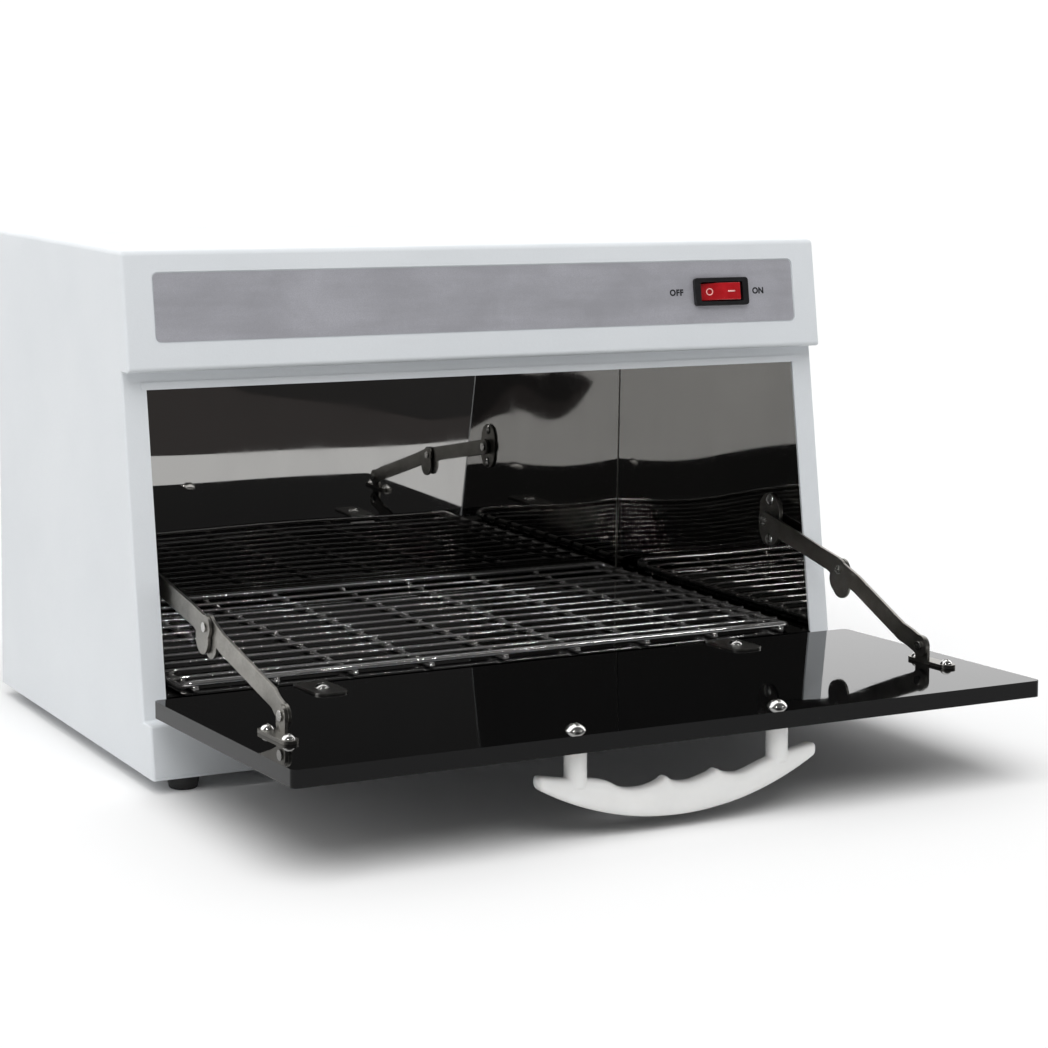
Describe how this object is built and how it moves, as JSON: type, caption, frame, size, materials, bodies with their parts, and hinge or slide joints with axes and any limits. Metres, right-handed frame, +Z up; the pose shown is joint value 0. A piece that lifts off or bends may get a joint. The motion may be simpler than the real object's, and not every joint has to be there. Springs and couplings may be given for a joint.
{
  "type": "uv sterilizer cabinet",
  "caption": "Bench-top sterilizer cabinet with a sloping front, drop-down smoked door on folding stays, mirror-lined chamber, wire rack and rocker switch.",
  "frame": {"origin": "on the surface that the feet stand on, under the middle of the overall box with the door open", "axes": "+Z up, +X to the right seen from the front, front and open door towards -Y"},
  "size_m": [0.37, 0.3709, 0.237],
  "materials": {
    "painted_shell": "smooth satin powder coat",
    "label_film": "satin silver film",
    "polished_liner": "mirror-polished steel sheet",
    "smoked_acrylic": "polished dark smoked sheet",
    "handle_plastic": "moulded, soft gloss",
    "stay_steel": "darkened plated steel",
    "hinge_steel": "darkened plated steel",
    "rivet_steel": "plated steel",
    "bright_screws": "bright nickel plate",
    "rack_wire": "bright chrome plate",
    "foot_rubber": "matt",
    "lamp_glass": "clear quartz glass",
    "lamp_metal": "satin",
    "holder_plastic": "moulded",
    "reflector_sheet": "polished aluminium",
    "ballast_steel": "lacquered laminations",
    "wire_sleeve": "smooth sleeve",
    "black_plastic": "moulded, fine texture",
    "rocker_red": "translucent red, polished"
  },
  "bodies": {
    "cabinet": {"back_panel": "painted_shell", "back_screws": "bright_screws", "ballast": "ballast_steel", "base_fascia": "painted_shell", "bottom_pan": "painted_shell", "control_label": "label_film", "cord_gland": "black_plastic", "feet": "foot_rubber", "foot_screws": "bright_screws", "frame_head": "painted_shell", "frame_jamb_left": "painted_shell", "frame_jamb_right": "painted_shell", "frame_sill": "painted_shell", "header_panel": "painted_shell", "hinge_base_leaves": "hinge_steel", "hinge_base_screws": "bright_screws", "hinge_pins": "hinge_steel", "lamp_caps": "lamp_metal", "lamp_holders": "holder_plastic", "lamp_reflector": "reflector_sheet", "lamp_tube": "lamp_glass", "lead_wires": "wire_sleeve", "liner_back": "polished_liner", "liner_ceiling": "polished_liner", "liner_floor": "polished_liner", "liner_left": "polished_liner", "liner_right": "polished_liner", "side_panel_left": "painted_shell", "side_panel_right": "painted_shell", "starter": "holder_plastic", "starter_socket": "holder_plastic", "stay_wall_plates": "stay_steel", "stay_wall_rivets": "rivet_steel", "stay_wall_screws": "bright_screws", "switch_housing": "black_plastic", "terminal_block": "holder_plastic", "top_panel": "painted_shell"},
    "door": {"door_panel": "smoked_acrylic", "door_handle": "handle_plastic", "handle_screws": "bright_screws", "hinge_door_leaves": "hinge_steel", "hinge_door_screws": "bright_screws", "stay_brackets": "stay_steel", "stay_bracket_rivets": "rivet_steel", "stay_bracket_screws": "bright_screws"},
    "upper_stay_left": {"stay_upper_arm_left": "stay_steel", "elbow_rivet_outer_left": "rivet_steel"},
    "lower_stay_left": {"stay_lower_arm_left": "stay_steel", "elbow_rivet_inner_left": "rivet_steel"},
    "upper_stay_right": {"stay_upper_arm_right": "stay_steel", "elbow_rivet_outer_right": "rivet_steel"},
    "lower_stay_right": {"stay_lower_arm_right": "stay_steel", "elbow_rivet_inner_right": "rivet_steel"},
    "rack": {"wire_rack": "rack_wire"},
    "switch_key": {"switch_rocker": "rocker_red"}
  },
  "joints": [
    {"name": "door_hinge", "type": "hinge", "parent": "cabinet", "child": "door", "pos_m": [0, -0.03064, 0.03238], "axis": [-1, 0, 0], "range_deg": [0, 97.87]},
    {"name": "upper_stay_pivot_left", "type": "hinge", "parent": "cabinet", "child": "upper_stay_left", "pos_m": [-0.16805, 0.0207, 0.0913], "axis": [-1, 0, 0], "range_deg": [0, 150.37]},
    {"name": "lower_stay_pivot_left", "type": "hinge", "parent": "door", "child": "lower_stay_left", "pos_m": [-0.16183, -0.12302, 0.054], "axis": [-1, 0, 0], "range_deg": [-93.19, 0]},
    {"name": "upper_stay_pivot_right", "type": "hinge", "parent": "cabinet", "child": "upper_stay_right", "pos_m": [0.16805, 0.0207, 0.0913], "axis": [-1, 0, 0], "range_deg": [0, 150.37]},
    {"name": "lower_stay_pivot_right", "type": "hinge", "parent": "door", "child": "lower_stay_right", "pos_m": [0.16183, -0.12302, 0.054], "axis": [-1, 0, 0], "range_deg": [-93.19, 0]},
    {"name": "rack_lift", "type": "slide", "parent": "cabinet", "child": "rack", "axis": [0, 0.1676, 0.9859], "range_m": [0, 0.02]},
    {"name": "switch_rock", "type": "hinge", "parent": "cabinet", "child": "switch_key", "pos_m": [0.1274, 0.0065, 0.21146], "axis": [0, 0.1676, 0.9859], "range_deg": [0, 20]}
  ],
  "couplings": [
    {"joint": "upper_stay_pivot_left", "follows": "door_hinge", "ratio": 1.5344},
    {"joint": "lower_stay_pivot_left", "follows": "door_hinge", "ratio": -0.95011},
    {"joint": "upper_stay_pivot_right", "follows": "door_hinge", "ratio": 1.5344},
    {"joint": "lower_stay_pivot_right", "follows": "door_hinge", "ratio": -0.95011}
  ]
}
